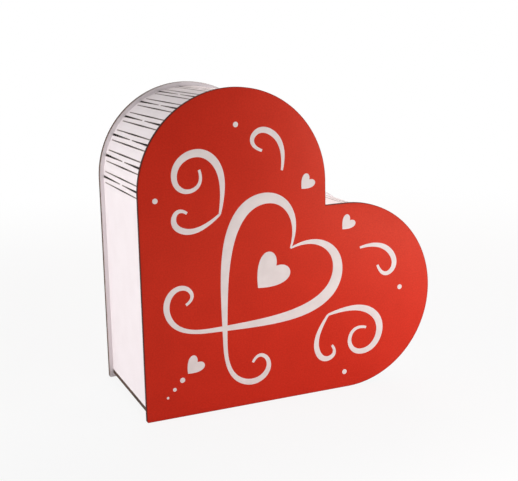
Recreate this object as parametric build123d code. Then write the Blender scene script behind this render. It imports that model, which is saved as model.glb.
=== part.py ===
from build123d import *
from math import cos, floor, pi, sin
import os

# A heart-shaped gift box cut from thin board. It stands on one straight side, with the tip of the
# heart at the lower left. The lid closes the front, which faces -Y. +X is to the right and +Z is up.
# The origin is on the surface that the box stands on, midway across its width and its depth.
# All sizes are in millimetres.

# Outline of the lid panel and the back panel
LOBE_RADIUS = 66.5  # each round lobe, a half circle
CLEFT_STRAIGHT = 17.0  # straight stretch from the end of each lobe to the cleft
TIP_ROUNDING = 1.0  # corner radius at the tip

# Boards
BOARD = 3.0  # thickness of every board
WALL_WIDTH = 90.0  # width of the wall strips, front to back
OVERHANG = 3.0  # how far the panels stand out past the walls
LID_FIT = 0.3  # gap between the lid plug and the walls
GLUE_LINE = 0.1  # gap left for glue between the back former and the walls

# Slits that let a wall bend round its lobe: groups of one edge slit pair between two middle slits
GROUP_PITCH = 15.6  # from one group to the next, along the outside of the wall
GROUP_START = 1.7  # middle of the first group, past the start of the lobe
SLIT_PITCH = 4.0  # from the edge slits to the middle slit on either side
SLIT_END_WIDTH = 0.25  # width of a slit at its closed ends
EDGE_SLIT_MOUTH = 1.5  # width of an edge slit where it leaves the wall
EDGE_SLIT_BRIDGE = 5.0  # wood left between the two edge slits of a pair
MIDDLE_SLIT_WAIST = 0.8  # width of a middle slit halfway along
MIDDLE_SLIT_BRIDGE = 4.0  # wood left at each end of a middle slit
CUT_MARGIN = 1.0  # how far a cut runs out past the wood

# Blocks glued inside where the walls meet
BLOCK_SIDE = 10.0  # side of the square stick that both blocks are cut from
BLOCK_SETBACK = 0.5  # gap between the blocks and the closed lid's plug

# Worked out from the sizes above
CLEFT = 2 * LOBE_RADIUS
SIDE_LENGTH = CLEFT + CLEFT_STRAIGHT
SPAN = SIDE_LENGTH + LOBE_RADIUS
MIDDLE = SPAN / 2
DEPTH = WALL_WIDTH + 2 * BOARD
FRONT = -DEPTH / 2
BACK = DEPTH / 2
WALL_OUTER_RADIUS = LOBE_RADIUS - OVERHANG
WALL_INNER_RADIUS = WALL_OUTER_RADIUS - BOARD
WALL_INSIDE = OVERHANG + BOARD


# Flat outlines, measured right and up from the tip corner of the panels

def heart_plane(y):
    """The plane of the heart at depth y, where boards grow towards the front."""
    return Plane(origin=(-MIDDLE, y, 0), x_dir=(1, 0, 0), z_dir=(0, -1, 0))


def board(outline, back_y, thickness):
    """A flat outline as a board whose back face is at back_y."""
    return extrude(heart_plane(back_y) * outline, amount=thickness)


def heart(inset):
    """The panels' heart, drawn in by inset all round."""
    near = inset
    far = CLEFT - inset
    radius = LOBE_RADIUS - inset
    upright = Polygon((near, near), (far, near), (far, SIDE_LENGTH), (near, SIDE_LENGTH), align=None)
    level = Polygon((near, near), (SIDE_LENGTH, near), (SIDE_LENGTH, far), (near, far), align=None)
    upper_lobe = Pos(LOBE_RADIUS, SIDE_LENGTH) * Circle(radius)
    right_lobe = Pos(SIDE_LENGTH, LOBE_RADIUS) * Circle(radius)
    return upright + level + upper_lobe + right_lobe


def panel_outline():
    """The outline of the lid panel and the back panel, with its tip rounded off."""
    outline = heart(0)
    tip = outline.vertices().sort_by_distance((0, 0, 0))[0]
    return fillet(tip, TIP_ROUNDING)


def wall_outline(start):
    """The edge of a bent wall: up from start, over the upper lobe and down to start short of the cleft."""
    near_stretch = Polygon(
        (OVERHANG, start),
        (WALL_INSIDE, start),
        (WALL_INSIDE, SIDE_LENGTH),
        (OVERHANG, SIDE_LENGTH),
        align=None,
    )
    cleft_stretch = Polygon(
        (CLEFT - WALL_INSIDE, CLEFT - start),
        (CLEFT - OVERHANG, CLEFT - start),
        (CLEFT - OVERHANG, SIDE_LENGTH),
        (CLEFT - WALL_INSIDE, SIDE_LENGTH),
        align=None,
    )
    ring = Circle(WALL_OUTER_RADIUS) - Circle(WALL_INNER_RADIUS)
    upper_half = Rectangle(CLEFT, LOBE_RADIUS, align=(Align.CENTER, Align.MIN))
    lobe = Pos(LOBE_RADIUS, SIDE_LENGTH) * (ring & upper_half)
    return near_stretch + lobe + cleft_stretch


# Slits in the walls

def wall_station(along):
    """A plane on the outside of the upper lobe's wall: x follows the wall and z points out of it."""
    turn = max(along, 0) / WALL_OUTER_RADIUS
    drop = min(along, 0)
    across = LOBE_RADIUS - WALL_OUTER_RADIUS * cos(turn)
    height = SIDE_LENGTH + WALL_OUTER_RADIUS * sin(turn) + drop
    return Plane(
        origin=(across - MIDDLE, 0, height),
        x_dir=(sin(turn), 0, cos(turn)),
        z_dir=(-cos(turn), 0, sin(turn)),
    )


def slit_cut(along, outline):
    """A slit's outline as a cut right through the wall."""
    return extrude(wall_station(along) * outline, amount=BOARD + CUT_MARGIN, both=True)


def edge_slit(side):
    """A slit that runs in from one edge of the wall, widest at that edge; side is -1 or 1."""
    tip = SLIT_END_WIDTH / 2
    mouth = EDGE_SLIT_MOUTH / 2
    root_y = side * EDGE_SLIT_BRIDGE / 2
    edge_y = side * WALL_WIDTH / 2
    out_y = side * (WALL_WIDTH / 2 + CUT_MARGIN)
    return Polygon(
        (-tip, root_y),
        (tip, root_y),
        (mouth, edge_y),
        (mouth, out_y),
        (-mouth, out_y),
        (-mouth, edge_y),
        align=None,
    )


def middle_slit():
    """A slit that is closed at both ends and widest halfway along."""
    tip = SLIT_END_WIDTH / 2
    waist = MIDDLE_SLIT_WAIST / 2
    end_y = WALL_WIDTH / 2 - MIDDLE_SLIT_BRIDGE
    return Polygon(
        (-tip, -end_y),
        (tip, -end_y),
        (waist, 0),
        (tip, end_y),
        (-tip, end_y),
        (-waist, 0),
        align=None,
    )


def hinge_cuts():
    """Every slit of one wall, group by group from the start of the lobe to its end."""
    room = pi * WALL_OUTER_RADIUS - SLIT_PITCH - GROUP_START
    cuts = []
    for group in range(floor(room / GROUP_PITCH) + 1):
        middle = GROUP_START + group * GROUP_PITCH
        cuts.append(slit_cut(middle, edge_slit(-1)))
        cuts.append(slit_cut(middle, edge_slit(1)))
        cuts.append(slit_cut(middle - SLIT_PITCH, middle_slit()))
        cuts.append(slit_cut(middle + SLIT_PITCH, middle_slit()))
    return cuts


# The pieces of the lid

def lid_panel():
    """The heart that closes the front."""
    return board(panel_outline(), FRONT + BOARD, BOARD)


def lid_plug():
    """The smaller heart glued behind the lid panel, which pushes in between the walls."""
    return board(heart(WALL_INSIDE + LID_FIT), FRONT + 2 * BOARD, BOARD)


# The pieces of the box

def bent_wall(start):
    """A wall strip with its slits, bent round the upper lobe."""
    strip = board(wall_outline(start), BACK - BOARD, WALL_WIDTH)
    return strip - hinge_cuts()


def left_wall():
    """The wall up the left side and over the upper lobe, whose lower end stands on the bottom wall."""
    return bent_wall(WALL_INSIDE)


def bottom_wall():
    """The wall along the bottom and round the right lobe, which butts on the left wall at the cleft."""
    diagonal = Plane(origin=(-MIDDLE, 0, 0), x_dir=(0, 1, 0), z_dir=(1, 0, -1))
    return mirror(bent_wall(OVERHANG), about=diagonal)


def back_panel():
    """The heart that closes the back."""
    return board(panel_outline(), BACK, BOARD)


def back_former():
    """The smaller heart glued inside the back panel, which the walls are glued round."""
    return board(heart(WALL_INSIDE + GLUE_LINE), BACK - BOARD, BOARD)


def block(outline):
    """A block that runs from the back former to just short of the lid plug."""
    back_y = BACK - 2 * BOARD
    front_y = FRONT + 2 * BOARD + BLOCK_SETBACK
    return board(outline, back_y, back_y - front_y)


def tip_block():
    """The square block in the corner where the bottom wall carries the left wall."""
    corner = Pos(WALL_INSIDE, WALL_INSIDE)
    return block(corner * Rectangle(BLOCK_SIDE, BLOCK_SIDE, align=(Align.MIN, Align.MIN)))


def cleft_block():
    """The square block under the end of the left wall and the bottom wall that butts on it."""
    corner = Pos(CLEFT - WALL_INSIDE, CLEFT - WALL_INSIDE)
    return block(corner * Rectangle(BLOCK_SIDE, BLOCK_SIDE, align=(Align.MIN, Align.MAX)))


PIECES = {
    "lid_panel": lid_panel,
    "lid_plug": lid_plug,
    "left_wall": left_wall,
    "bottom_wall": bottom_wall,
    "back_panel": back_panel,
    "back_former": back_former,
    "tip_block": tip_block,
    "cleft_block": cleft_block,
}

os.makedirs("parts", exist_ok=True)
for name, make in PIECES.items():
    export_step(make(), f"parts/{name}.step")
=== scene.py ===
from math import pi, radians

import bmesh
import bpy
from mathutils import Matrix, Vector


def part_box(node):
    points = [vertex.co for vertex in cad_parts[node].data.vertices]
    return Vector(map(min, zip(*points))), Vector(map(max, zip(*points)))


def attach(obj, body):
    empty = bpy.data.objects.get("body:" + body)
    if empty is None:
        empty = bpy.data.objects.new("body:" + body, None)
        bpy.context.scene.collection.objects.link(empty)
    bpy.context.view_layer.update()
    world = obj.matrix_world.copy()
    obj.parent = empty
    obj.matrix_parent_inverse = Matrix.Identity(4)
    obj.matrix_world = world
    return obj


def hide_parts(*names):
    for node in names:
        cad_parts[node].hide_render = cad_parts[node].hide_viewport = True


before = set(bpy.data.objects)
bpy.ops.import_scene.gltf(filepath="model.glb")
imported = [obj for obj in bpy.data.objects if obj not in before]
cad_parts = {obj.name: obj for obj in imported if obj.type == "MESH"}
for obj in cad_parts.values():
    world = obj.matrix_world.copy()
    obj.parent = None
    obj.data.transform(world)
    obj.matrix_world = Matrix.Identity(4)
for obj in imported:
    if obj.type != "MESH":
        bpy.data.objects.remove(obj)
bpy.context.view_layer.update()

# A heart-shaped gift box of thin board, standing on one straight side with its tip at the lower left.
# The lid is at the front, -Y. All sizes are in metres, apart from the ornament's.

# Sizes of the box, from the frame
lid_low, lid_high = map(Vector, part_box("lid_panel"))
plug_low, plug_high = map(Vector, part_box("lid_plug"))
wall_low, wall_high = map(Vector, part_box("left_wall"))
back_low, back_high = map(Vector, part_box("back_panel"))
former_low, former_high = map(Vector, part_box("back_former"))

CLEFT_STRAIGHT = 0.017  # straight stretch from the end of each half-round lobe to the cleft
SPAN = lid_high.x - lid_low.x
LOBE_RADIUS = (SPAN - CLEFT_STRAIGHT) / 3
CLEFT = 2 * LOBE_RADIUS
SIDE_LENGTH = CLEFT + CLEFT_STRAIGHT
TIP_X = lid_low.x
OVERHANG = wall_low.x - lid_low.x
BOARD = lid_high.y - lid_low.y
WALL_WIDTH = wall_high.y - wall_low.y
WALL_MIDDLE = (wall_low.y + wall_high.y) / 2
WALL_OUTER_RADIUS = LOBE_RADIUS - OVERHANG

# Slits in the walls, in groups of an edge slit pair between two middle slits
GROUP_PITCH = 0.0156  # from one group to the next, along the outside of the wall
GROUP_START = 0.0017  # middle of the first group, past the start of the lobe
SLIT_PITCH = 0.004  # from the edge slits to the middle slit on either side
SLIT_END_WIDTH = 0.00025
EDGE_SLIT_MOUTH = 0.0015
EDGE_SLIT_BRIDGE = 0.005
MIDDLE_SLIT_WAIST = 0.0008
MIDDLE_SLIT_BRIDGE = 0.004
LAST_GROUP = int((pi * WALL_OUTER_RADIUS - SLIT_PITCH - GROUP_START) / GROUP_PITCH)

# Fine shape of the pieces
TIP_ROUNDING = 0.001
EDGE_SOFTNESS = 0.00012
STICK_SOFTNESS = 0.0004
PRINT_RECESS = 0.00015  # the lid's board lies this far back, so that its ornament stays inside the box
LOBE_STEPS = 160
TIP_STEPS = 6
BEVEL_SEGMENTS = 2
MERGE = 0.000002
FLAT_ON = 0.9  # cosine past which a face counts as facing that way
SMOOTH_ANGLE = radians(30)

# Marks that the laser leaves, with painted shade beside the slits and under the walls
SCORCH_WIDTH = 0.0008  # brown haze beside a cut
SOOT_AND_SHADE_LINE_WIDTH = 0.0002  # black line beside a slit: partly laser soot, partly painted shade that widens the slit's dark opening
SOOT_AND_SHADE_LINE_DARKNESS = 0.9  # how black that line is
RIM_WIDTH = 0.0007  # dark line along the edge of the red print
RIM_STAIN = 0.7
UNDER_WALL_SHADE_MARGIN = 0.0002  # the painted shade under the walls stops this far inside them
# how dark the painted shade under the walls is, so that the slit mouths show black
UNDER_WALL_SHADE_DARKNESS = 0.95


# Nodes of a material

SEEING_RAYS = ("Camera", "Glossy", "Transmission")


class Signal:
    """A socket in a material. Arithmetic on signals adds Math nodes."""

    def __init__(self, finish, socket):
        self.finish = finish
        self.socket = socket

    def maths(self, operation, *others):
        """A Math node with this signal as its first input."""
        return self.finish.maths(operation, self, *others)

    def __add__(self, other):
        return self.maths("ADD", other)

    __radd__ = __add__

    def __sub__(self, other):
        return self.maths("SUBTRACT", other)

    def __rsub__(self, other):
        return self.finish.maths("SUBTRACT", other, self)

    def __mul__(self, other):
        return self.maths("MULTIPLY", other)

    def __truediv__(self, other):
        return self.maths("DIVIDE", other)

    def __pow__(self, other):
        return self.maths("POWER", other)

    def __lt__(self, other):
        return self.maths("LESS_THAN", other)

    def __gt__(self, other):
        return self.maths("GREATER_THAN", other)

    def __abs__(self):
        return self.maths("ABSOLUTE")

    def least(self, other):
        return self.maths("MINIMUM", other)

    def most(self, other):
        return self.maths("MAXIMUM", other)

    def fade(self, low, high):
        """0 at low and 1 at high, with a soft start and end."""
        settings = {"interpolation_type": "SMOOTHSTEP"}
        sockets = {"Value": self, "From Min": low, "From Max": high}
        return self.finish.add("ShaderNodeMapRange", settings, sockets)


class Finish:
    """A material, or the world, that is written node by node on the object's own coordinates."""

    def __init__(self, name, blocks=bpy.data.materials):
        self.material = blocks.new(name)
        self.material.use_nodes = True
        self.nodes = self.material.node_tree.nodes
        self.links = self.material.node_tree.links
        self.nodes.clear()
        self.place = self.add("ShaderNodeTexCoord", output="Object")
        self.x, self.y, self.z = (
            self.add("ShaderNodeSeparateXYZ", sockets={"Vector": self.place}, output=axis)
            for axis in "XYZ"
        )

    def add(self, kind, settings=None, sockets=None, output=0):
        """Adds a node: its settings are set first, then its sockets, by value or by link."""
        node = self.nodes.new(kind)
        for key, value in (settings or {}).items():
            setattr(node, key, value)
        for key, value in (sockets or {}).items():
            if isinstance(value, Signal):
                self.links.new(value.socket, node.inputs[key])
            else:
                node.inputs[key].default_value = value
        return Signal(self, node.outputs[output]) if node.outputs else None

    def maths(self, operation, *terms):
        return self.add("ShaderNodeMath", {"operation": operation}, dict(enumerate(terms)))

    def noise(self, scale, detail, stretch=(1, 1, 1)):
        """Soft noise from 0 to 1 with features of about 1 / scale metres."""
        place = self.add("ShaderNodeMapping", sockets={"Vector": self.place, "Scale": stretch})
        sockets = {"Vector": place, "Scale": scale, "Detail": detail}
        return self.add("ShaderNodeTexNoise", sockets=sockets)

    def mix(self, factor, first, second):
        return self.add("ShaderNodeMix", {"data_type": "RGBA"}, {0: factor, 6: first, 7: second}, 2)

    def bump(self, height, strength, distance):
        sockets = {"Height": height, "Strength": strength, "Distance": distance}
        return self.add("ShaderNodeBump", sockets=sockets)

    def seen(self):
        """1 where the camera, a mirror or glass looks, and 0 where light is gathered."""
        rays = [self.add("ShaderNodeLightPath", output=f"Is {kind} Ray") for kind in SEEING_RAYS]
        return rays[0].most(rays[1]).most(rays[2])

    def surface(self, **sockets):
        named = {key.replace("_", " "): value for key, value in sockets.items()}
        shader = self.add("ShaderNodeBsdfPrincipled", sockets=named)
        self.add("ShaderNodeOutputMaterial", sockets={"Surface": shader})
        return self.material


# Where a point lies on the heart

def distance_from(across, up, centre_across, centre_up):
    """Distance in the plane of the heart from a point to a centre."""
    return ((across - centre_across) ** 2 + (up - centre_up) ** 2) ** 0.5


def depth_in_heart(finish):
    """How far a point lies inside the edge of the front and back panels."""
    across = finish.x - TIP_X
    up = finish.z
    corner = across.least(up)
    upright = corner.least(CLEFT - across).least(SIDE_LENGTH - up)
    level = corner.least(CLEFT - up).least(SIDE_LENGTH - across)
    upper_lobe = LOBE_RADIUS - distance_from(across, up, LOBE_RADIUS, SIDE_LENGTH)
    right_lobe = LOBE_RADIUS - distance_from(across, up, SIDE_LENGTH, LOBE_RADIUS)
    return upright.most(level).most(upper_lobe).most(right_lobe)


def depth_from_slit(finish, mirrored):
    """How far a point on a wall lies from the side of the nearest slit."""
    across, up = finish.x - TIP_X, finish.z
    if mirrored:
        across, up = up, across
    rise = up - SIDE_LENGTH
    turn = rise.most(0).maths("ARCTAN2", LOBE_RADIUS - across)
    straight = rise.least(0) * (across < LOBE_RADIUS) - rise.least(0) * (across > LOBE_RADIUS)
    along = turn * WALL_OUTER_RADIUS + straight
    place_in_groups = (along - GROUP_START) / GROUP_PITCH
    group = place_in_groups.maths("ROUND").most(0).least(LAST_GROUP)
    from_middle = abs(place_in_groups - group) * GROUP_PITCH
    off_centre = abs(finish.y - WALL_MIDDLE)
    edge_start = EDGE_SLIT_BRIDGE / 2
    edge_taper = (EDGE_SLIT_MOUTH - SLIT_END_WIDTH) / (WALL_WIDTH / 2 - edge_start) / 2
    edge_half = (off_centre - edge_start) * edge_taper + SLIT_END_WIDTH / 2
    edge_slit = (from_middle - edge_half).most(edge_start - off_centre)
    middle_end = WALL_WIDTH / 2 - MIDDLE_SLIT_BRIDGE
    middle_taper = (MIDDLE_SLIT_WAIST - SLIT_END_WIDTH) / middle_end / 2
    middle_half = MIDDLE_SLIT_WAIST / 2 - off_centre * middle_taper
    middle_slit = (abs(from_middle - SLIT_PITCH) - middle_half).most(off_centre - middle_end)
    return edge_slit.least(middle_slit)


# Finishes

WHITE = (0.87, 0.79, 0.81, 1)
WHITE_SHADE = (0.845, 0.765, 0.782, 1)
SCORCH = (0.30, 0.15, 0.07, 1)
# Near-black of the slit sides: partly laser soot, partly painted shade
SOOT_AND_SHADE_BLACK = (0.006, 0.005, 0.004, 1)
# Laser char, also used as painted shade beside the slits and under the walls
CHAR_AND_SHADE_DARK = (0.020, 0.012, 0.008, 1)
BURNT = (0.125, 0.072, 0.052, 1)
RED = (0.635, 0.0240, 0.0107, 1)
RED_SHADE = (0.535, 0.0178, 0.0078, 1)
RED_EDGE = (0.14, 0.006, 0.003, 1)
RED_CHAR = (0.026, 0.005, 0.003, 1)
RED_BURNT = (0.075, 0.011, 0.007, 1)
RED_GLOSS = (1, 0.85, 0.5, 1)
PAPER_WHITE = (0.80, 0.705, 0.685, 1)
PAPER_SHADE = (0.75, 0.655, 0.635, 1)
PINE = (0.72, 0.52, 0.30, 1)
PINE_LATE = (0.52, 0.31, 0.14, 1)
PINE_RINGS = 9
PINE_GROWTH = (1, 0.05, 1)  # growth rings and fibres are drawn out along the block
PINE_FIBRE = (1, 0.03, 1)


def white_board(name, cut_distance=None, soot_and_shade_line=0, painted_under_wall_shade=False):
    """White lacquered board, scorched beside its cuts, with a black line beside the slits that is partly
    soot and partly painted shade, and painted shade where the walls stand on it.
    """
    finish = Finish(name)
    mottle = finish.noise(scale=60, detail=4)
    colour = finish.mix(mottle.fade(0.35, 0.7), WHITE, WHITE_SHADE)
    if cut_distance:
        from_cut = cut_distance(finish)
        patchy = finish.noise(scale=400, detail=2).fade(0.2, 0.8) * 0.4 + 0.2
        colour = finish.mix((1 - from_cut.fade(0, SCORCH_WIDTH)) * patchy, colour, SCORCH)
        if soot_and_shade_line:
            # Black line beside the slits: partly laser soot, partly painted shade
            colour = finish.mix((1 - from_cut.fade(0, SOOT_AND_SHADE_LINE_WIDTH)) * soot_and_shade_line, colour, CHAR_AND_SHADE_DARK)
    # Painted shade on the panel under the walls, which is seen black in the slit mouths
    if painted_under_wall_shade:
        from_wall = abs(depth_in_heart(finish) - (OVERHANG + BOARD / 2))
        colour = finish.mix((from_wall < BOARD / 2 - UNDER_WALL_SHADE_MARGIN) * UNDER_WALL_SHADE_DARKNESS, colour, CHAR_AND_SHADE_DARK)
    grain = finish.noise(scale=2600, detail=2)
    return finish.surface(
        Base_Color=colour,
        Roughness=0.38 + mottle * 0.14,
        Normal=finish.bump(grain, strength=0.12, distance=0.00004),
    )


def burnt_edge(name, dark, light):
    """Laser-cut edge of the board, clouded and streaked between two tones."""
    finish = Finish(name)
    streaks = finish.noise(scale=900, detail=3)
    clouds = finish.noise(scale=70, detail=3)
    tone = (streaks * 0.6 + clouds * 0.6).fade(0.3, 0.9)
    return finish.surface(
        Base_Color=finish.mix(tone, dark, light),
        Roughness=0.75,
        Specular_IOR_Level=0.15,
        Normal=finish.bump(streaks, strength=0.3, distance=0.00008),
    )


def red_print():
    """Red printed face, finely grained, darkened along its burnt edge."""
    finish = Finish("red_print")
    mottle = finish.noise(scale=45, detail=5)
    grain = finish.noise(scale=900, detail=3)
    tone = mottle.fade(0.3, 0.75) * 0.3 + grain.fade(0.3, 0.7) * 0.7
    edge = 1 - depth_in_heart(finish).fade(0, RIM_WIDTH)
    return finish.surface(
        Base_Color=finish.mix(edge * RIM_STAIN, finish.mix(tone, RED, RED_SHADE), RED_EDGE),
        Roughness=0.46 + grain * 0.16,
        Specular_IOR_Level=0.18,
        Specular_Tint=RED_GLOSS,
        Normal=finish.bump(grain, strength=0.25, distance=0.00005),
    )


def white_print():
    """White of the ornament on the lid."""
    finish = Finish("white_print")
    mottle = finish.noise(scale=120, detail=4)
    grain = finish.noise(scale=1800, detail=2)
    return finish.surface(
        Base_Color=finish.mix(mottle.fade(0.3, 0.7), PAPER_WHITE, PAPER_SHADE),
        Roughness=0.42 + grain * 0.14,
        Normal=finish.bump(grain, strength=0.15, distance=0.00004),
    )


def pine_block():
    """Pale softwood with its grain along the block."""
    finish = Finish("pine_block")
    growth = finish.noise(scale=160, detail=3, stretch=PINE_GROWTH) * PINE_RINGS
    fibre = finish.noise(scale=1400, detail=3, stretch=PINE_FIBRE)
    tone = growth.maths("FRACT").fade(0.45, 1.0) * 0.7 + fibre.fade(0.4, 0.8) * 0.3
    return finish.surface(
        Base_Color=finish.mix(tone, PINE, PINE_LATE),
        Roughness=0.7,
        Normal=finish.bump(fibre, strength=0.3, distance=0.0001),
    )


WHITE_PANEL = white_board("white_panel", depth_in_heart)
PANEL_WITH_SHADE_UNDER_WALLS = white_board("panel_with_painted_shade_under_walls", depth_in_heart, painted_under_wall_shade=True)
WHITE_INNER = white_board("white_inner")
LEFT_WALL_FACE = white_board(
    "left_wall_face", lambda finish: depth_from_slit(finish, mirrored=False), soot_and_shade_line=SOOT_AND_SHADE_LINE_DARKNESS
)
BOTTOM_WALL_FACE = white_board(
    "bottom_wall_face", lambda finish: depth_from_slit(finish, mirrored=True), soot_and_shade_line=SOOT_AND_SHADE_LINE_DARKNESS
)
BURNT_EDGE = burnt_edge("burnt_edge", CHAR_AND_SHADE_DARK, BURNT)
# Slit sides and inner board edges: laser char, darkened further as painted shade in the slits
CHAR_AND_SHADE_EDGE = burnt_edge("char_and_painted_shade_edge", SOOT_AND_SHADE_BLACK, CHAR_AND_SHADE_DARK)
RED_BURNT_EDGE = burnt_edge("red_burnt_edge", RED_CHAR, RED_BURNT)
RED_PRINT = red_print()
WHITE_PRINT = white_print()
PINE_BLOCK = pine_block()


# Pieces

BOARD_FRONT, BOARD_EDGE, BOARD_BACK = range(3)  # the materials of a board, in order
WALL_FACE, WALL_EDGE, WALL_SLIT = range(3)  # the materials of a wall, in order


def make_piece(name, bm, materials, body, node=None):
    """A finished mesh as a piece that rides on a body and may stand for a CAD node."""
    mesh = bpy.data.meshes.new(name)
    bm.to_mesh(mesh)
    bm.free()
    mesh.shade_smooth()
    mesh.set_sharp_from_angle(angle=SMOOTH_ANGLE)
    for material in materials:
        mesh.materials.append(material)
    piece = bpy.data.objects.new(name, mesh)
    bpy.context.scene.collection.objects.link(piece)
    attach(piece, body)
    if node:
        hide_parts(node)


def soften(bm, edges, offset):
    """Rounds edges off by a small bevel."""
    bmesh.ops.bevel(
        bm, geom=edges, offset=offset, affect="EDGES", segments=BEVEL_SEGMENTS, profile=0.5, material=-1
    )


def heart_outline(bm, inset, y):
    """A closed loop of edges round the heart at depth y, drawn in by inset."""
    left = TIP_X + inset
    right = TIP_X + SIDE_LENGTH
    tip = inset + TIP_ROUNDING
    arcs = (
        ((left, y, SIDE_LENGTH), (TIP_X + LOBE_RADIUS, y, SIDE_LENGTH), pi, LOBE_STEPS),
        ((right, y, inset), (right, y, LOBE_RADIUS), -pi, LOBE_STEPS),
        ((left, y, tip), (left + TIP_ROUNDING, y, tip), -pi / 2, TIP_STEPS),
    )
    ends = []
    for start, centre, turn, steps in arcs:
        first = bm.verts.new(start)
        spun = bmesh.ops.spin(bm, geom=[first], cent=centre, axis=(0, 1, 0), angle=turn, steps=steps)
        last = next(item for item in spun["geom_last"] if isinstance(item, bmesh.types.BMVert))
        ends.append((first, last))
    (upper_start, upper_end), (right_start, right_end), (tip_left, tip_bottom) = ends
    cleft = bm.verts.new((TIP_X + CLEFT - inset, y, CLEFT - inset))
    bm.edges.new((upper_start, tip_left))
    bm.edges.new((right_start, tip_bottom))
    bm.edges.new((upper_end, cleft))
    bm.edges.new((right_end, cleft))


def heart_board(inset, front, back):
    """A heart cut from board, with softened edges."""
    bm = bmesh.new()
    heart_outline(bm, inset, front)
    bmesh.ops.edgeloop_fill(bm, edges=bm.edges[:])
    grown = bmesh.ops.extrude_face_region(bm, geom=bm.faces[:])
    moved = [item for item in grown["geom"] if isinstance(item, bmesh.types.BMVert)]
    bmesh.ops.translate(bm, verts=moved, vec=(0, back - front, 0))
    bmesh.ops.recalc_face_normals(bm, faces=bm.faces[:])
    rim = [edge for edge in bm.edges if any(abs(face.normal.y) > FLAT_ON for face in edge.link_faces)]
    soften(bm, rim, EDGE_SOFTNESS)
    for face in bm.faces:
        if face.normal.y < -FLAT_ON:
            face.material_index = BOARD_FRONT
        elif face.normal.y > FLAT_ON:
            face.material_index = BOARD_BACK
        else:
            face.material_index = BOARD_EDGE
    return bm


def bent_wall(node, mirrored):
    """A wall's own mesh, with its two faces, its edges and the sides of its slits told apart."""
    bm = bmesh.new()
    bm.from_mesh(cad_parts[node].data)
    bmesh.ops.remove_doubles(bm, verts=bm.verts[:], dist=MERGE)
    for face in bm.faces:
        middle = face.calc_center_median()
        across, up = middle.x - TIP_X, middle.z
        normal = Vector((face.normal.x, face.normal.z))
        if mirrored:
            across, up = up, across
            normal = normal.yx
        out = Vector((across - LOBE_RADIUS, max(up - SIDE_LENGTH, 0)))
        if abs(normal.dot(out.normalized())) > FLAT_ON:
            face.material_index = WALL_FACE
        elif up > SIDE_LENGTH - 2 * SLIT_PITCH and abs(face.normal.y) < FLAT_ON:
            face.material_index = WALL_SLIT
        else:
            face.material_index = WALL_EDGE
    return bm


def square_stick(low, high):
    """A planed square stick with softened corners."""
    bm = bmesh.new()
    bmesh.ops.create_cube(bm, size=1)
    bmesh.ops.scale(bm, verts=bm.verts[:], vec=high - low)
    bmesh.ops.translate(bm, verts=bm.verts[:], vec=(low + high) / 2)
    soften(bm, bm.edges[:], STICK_SOFTNESS)
    return bm


# Ornament printed on the lid, drawn in millimetres across and up from the tip along the heart's own axis

MILLIMETRE = 0.001
STROKE_FLATNESS = 0.03  # height of a brush stroke for each millimetre of its half width
STROKE_STEPS = 10
STROKE_ROUNDING = 4
STROKE_ORDER = 4
HEART_THICKNESS = 0.1
HEART_STEPS = 24
DOT_SEGMENTS = 24
DOT_RINGS = 12
ORNAMENT_MERGE = 0.0005

# Strokes on the right of the axis, as points across, up and half the stroke's width there
OPEN_HEART = (
    (0, 150, 0.6), (5, 161, 1.2), (18, 171, 2.4), (36, 168, 3.6), (47, 151, 4.2), (42, 129, 3.9),
    (27, 108, 3.0), (10, 90, 2.2), (-4, 76, 1.6), (-16, 64, 1.3), (-30, 58, 1.7), (-44, 64, 2.2),
    (-48, 77, 1.9), (-40, 86, 1.4), (-31, 82, 1.1), (-33, 75, 0.9),
)
SIDE_SCROLL = (
    (56, 134, 0.8), (66, 150, 1.8), (82, 160, 2.8), (98, 154, 2.6), (103, 138, 2.2), (93, 126, 1.8),
    (80, 130, 1.4), (79, 142, 1.1), (87, 146, 0.9),
)
LOWER_SCROLL = (
    (56, 134, 0.8), (58, 118, 1.6), (68, 107, 2.2), (80, 109, 1.8), (81, 119, 1.2), (74, 120, 0.9),
)
UPPER_SCROLL = (
    (42, 184, 0.8), (50, 196, 1.6), (66, 200, 2.2), (77, 190, 1.8), (71, 180, 1.3), (62, 184, 0.9),
)
STROKES = (OPEN_HEART, SIDE_SCROLL, LOWER_SCROLL, UPPER_SCROLL)

# Hearts as across, up and width, and dots as across, up and radius
SMALL_HEARTS = ((0, 128, 26), (0, 48, 13), (-22, 190, 11), (22, 190, 11))
DOTS = (
    (0, 36, 1.8), (0, 28, 1.3), (0, 21, 0.9),
    (-96, 112, 1.8), (96, 112, 1.8), (-88, 184, 1.8), (88, 184, 1.8),
)

# The notch and the point of a heart that is 1 wide, each with the handle of the curve on its right
HEART_NOTCH = ((0, 0.25), (0.28, 0.72))
HEART_POINT = ((0, -0.5), (-0.95, 0.28))


def curve_mesh(curve):
    """A curve's surface as a mesh."""
    drawing = bpy.data.objects.new(curve.name, curve)
    mesh = bpy.data.meshes.new_from_object(drawing)
    bpy.data.objects.remove(drawing)
    return mesh


def brush_stroke(points, side):
    """A stroke that swells and thins like a brush's, on the right or the left of the heart's axis."""
    curve = bpy.data.curves.new("brush_stroke", "CURVE")
    curve.dimensions = "3D"
    curve.bevel_depth = 1
    curve.bevel_resolution = STROKE_ROUNDING
    curve.resolution_u = STROKE_STEPS
    curve.use_fill_caps = True
    spline = curve.splines.new("NURBS")
    spline.points.add(len(points) - 1)
    for point, (across, up, half_width) in zip(spline.points, points):
        point.co = (side * across, up, 0, 1)
        point.radius = half_width
    spline.order_u = STROKE_ORDER
    spline.use_endpoint_u = True
    return curve_mesh(curve)


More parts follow.
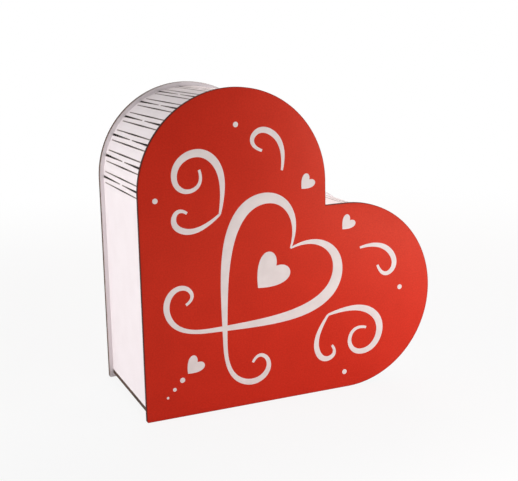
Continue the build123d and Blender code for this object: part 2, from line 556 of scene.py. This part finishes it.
def small_heart(across, up, width):
    """A filled heart, drawn with two curved sides."""
    curve = bpy.data.curves.new("small_heart", "CURVE")
    curve.dimensions = "2D"
    curve.fill_mode = "BOTH"
    curve.resolution_u = HEART_STEPS
    curve.extrude = HEART_THICKNESS
    spline = curve.splines.new("BEZIER")
    spline.bezier_points.add(1)
    spline.use_cyclic_u = True
    for corner, (place, handle) in zip(spline.bezier_points, (HEART_NOTCH, HEART_POINT)):
        corner.handle_left_type = corner.handle_right_type = "FREE"
        corner.co = (across + place[0] * width, up + place[1] * width, 0)
        corner.handle_right = (across + handle[0] * width, up + handle[1] * width, 0)
        corner.handle_left = (across - handle[0] * width, up + handle[1] * width, 0)
    return curve_mesh(curve)


def lid_ornament(face_y):
    """The whole ornament, lying on the lid's front."""
    bm = bmesh.new()
    for stroke in STROKES:
        for side in (-1, 1):
            bm.from_mesh(brush_stroke(stroke, side))
    for across, up, radius in DOTS:
        place = Matrix.Translation((across, up, 0))
        bmesh.ops.create_uvsphere(
            bm, u_segments=DOT_SEGMENTS, v_segments=DOT_RINGS, radius=radius, matrix=place
        )
    bmesh.ops.scale(bm, verts=bm.verts[:], vec=(1, 1, STROKE_FLATNESS))
    for heart in SMALL_HEARTS:
        bm.from_mesh(small_heart(*heart))
    bmesh.ops.remove_doubles(bm, verts=bm.verts[:], dist=ORNAMENT_MERGE)
    bmesh.ops.recalc_face_normals(bm, faces=bm.faces[:])
    to_face = Matrix.Translation((TIP_X, face_y, 0)) @ Matrix.Rotation(pi / 4, 4, "Y")
    to_face = to_face @ Matrix.Rotation(pi / 2, 4, "X") @ Matrix.Scale(MILLIMETRE, 4)
    bmesh.ops.transform(bm, matrix=to_face, verts=bm.verts[:])
    return bm


lid_face = lid_low.y + PRINT_RECESS
make_piece(
    "lid_board", heart_board(0, lid_face, lid_high.y),
    (RED_PRINT, RED_BURNT_EDGE, WHITE_PANEL), "lid", "lid_panel",
)
make_piece("lid_ornament", lid_ornament(lid_face), (WHITE_PRINT,), "lid")
make_piece(
    "lid_plug_board", heart_board(plug_low.x - TIP_X, plug_low.y, plug_high.y),
    (WHITE_INNER, CHAR_AND_SHADE_EDGE, WHITE_INNER), "lid", "lid_plug",
)
make_piece(
    "back_board", heart_board(0, back_low.y, back_high.y),
    (PANEL_WITH_SHADE_UNDER_WALLS, BURNT_EDGE, WHITE_PANEL), "box", "back_panel",
)
make_piece(
    "back_former_board", heart_board(former_low.x - TIP_X, former_low.y, former_high.y),
    (WHITE_INNER, CHAR_AND_SHADE_EDGE, WHITE_INNER), "box", "back_former",
)
make_piece(
    "left_wall_strip", bent_wall("left_wall", mirrored=False),
    (LEFT_WALL_FACE, BURNT_EDGE, CHAR_AND_SHADE_EDGE), "box", "left_wall",
)
make_piece(
    "bottom_wall_strip", bent_wall("bottom_wall", mirrored=True),
    (BOTTOM_WALL_FACE, BURNT_EDGE, CHAR_AND_SHADE_EDGE), "box", "bottom_wall",
)
for node in ("tip_block", "cleft_block"):
    low, high = map(Vector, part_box(node))
    stick_name = node.replace("block", "stick")
    make_piece(stick_name, square_stick(low, high), (PINE_BLOCK,), "box", node)


# Floor, light and camera

PLAIN_WHITE = (1, 1, 1, 1)
FLOOR_GREY = (0.8, 0.8, 0.8, 1)
FLOOR_HALF_WIDTH = 20
SHADOW_SHARE = 0.12  # how much of the floor's own light and shadow shows near the object
SHADOW_START = 0.3  # it fades out to plain white between these distances
SHADOW_END = 0.9
WORLD_LIGHT = 0.335
WARM = (1, 0.78, 0.72)

CAMERA_PLACE = (-0.27320, -0.60478, 0.25131)
CAMERA_TURN = radians(21.673)  # to the right
CAMERA_TILT = radians(10.227)  # down from level
CAMERA_ROLL = radians(1.611)
CAMERA_LENS = 65.009  # millimetres, as the sensor is
CAMERA_SENSOR = 36
CAMERA_SHIFT = (0.07318, -0.07643)


def make_floor():
    """A wide pale floor that shows white and keeps a soft shadow."""
    bm = bmesh.new()
    bmesh.ops.create_grid(bm, x_segments=1, y_segments=1, size=FLOOR_HALF_WIDTH)
    mesh = bpy.data.meshes.new("floor")
    bm.to_mesh(mesh)
    bm.free()
    finish = Finish("pale_floor")
    lit = finish.add("ShaderNodeBsdfDiffuse", sockets={"Color": FLOOR_GREY})
    glow = finish.add("ShaderNodeEmission", sockets={"Color": PLAIN_WHITE, "Strength": 1})
    from_object = (finish.x ** 2 + finish.y ** 2) ** 0.5
    share = 1 - SHADOW_SHARE + from_object.fade(SHADOW_START, SHADOW_END) * SHADOW_SHARE
    shown = finish.add("ShaderNodeMixShader", sockets={0: finish.seen() * share, 1: lit, 2: glow})
    finish.add("ShaderNodeOutputMaterial", sockets={"Surface": shown})
    mesh.materials.append(finish.material)
    floor = bpy.data.objects.new("floor", mesh)
    bpy.context.scene.collection.objects.link(floor)


def make_world(strength):
    """Even white light from all round, shown as plain white."""
    finish = Finish("studio", bpy.data.worlds)
    level = strength + finish.seen() * (1 - strength)
    sky = finish.add("ShaderNodeBackground", sockets={"Color": PLAIN_WHITE, "Strength": level})
    finish.add("ShaderNodeOutputWorld", sockets={"Surface": sky})
    bpy.context.scene.world = finish.material


def make_softbox(name, place, target, width, height, power, colour=(1, 1, 1)):
    """A flat area light that points at a target."""
    light = bpy.data.lights.new(name, "AREA")
    light.shape = "RECTANGLE"
    light.size = width
    light.size_y = height
    light.energy = power
    light.color = colour
    lamp = bpy.data.objects.new(name, light)
    aim = Vector(target) - Vector(place)
    lamp.matrix_world = Matrix.Translation(place) @ aim.to_track_quat("-Z", "Y").to_matrix().to_4x4()
    bpy.context.scene.collection.objects.link(lamp)


def make_camera():
    """The photograph's view: from the left of the lid and a little above."""
    camera_data = bpy.data.cameras.new("camera")
    camera_data.sensor_width = CAMERA_SENSOR
    camera_data.lens = CAMERA_LENS
    camera_data.shift_x, camera_data.shift_y = CAMERA_SHIFT
    camera = bpy.data.objects.new("camera", camera_data)
    turn = Matrix.Rotation(-CAMERA_TURN, 4, "Z")
    tilt = Matrix.Rotation(pi / 2 - CAMERA_TILT, 4, "X")
    roll = Matrix.Rotation(-CAMERA_ROLL, 4, "Z")
    camera.matrix_world = Matrix.Translation(CAMERA_PLACE) @ turn @ tilt @ roll
    bpy.context.scene.collection.objects.link(camera)
    bpy.context.scene.camera = camera


make_floor()
make_world(WORLD_LIGHT)
make_softbox(
    "left_softbox", place=(-0.95, 0.03, 0.10), target=(0, 0, 0.1), width=0.3, height=0.3, power=5.7
)
make_softbox(
    "right_softbox", place=(0.57, -0.40, 0.12), target=(0.05, 0, 0.1), width=0.45, height=0.45, power=3.65
)
make_softbox(
    "top_softbox", place=(0.50, 0.71, 0.60), target=(0, 0, 0.1), width=0.5, height=0.5, power=3.4,
    colour=WARM,
)
make_softbox(
    "bounce_card", place=(0.06, -0.26, 0.05), target=(0.06, 0, 0.02), width=0.38, height=0.03, power=0.135
)
make_camera()
bpy.context.scene.view_settings.view_transform = "Standard"
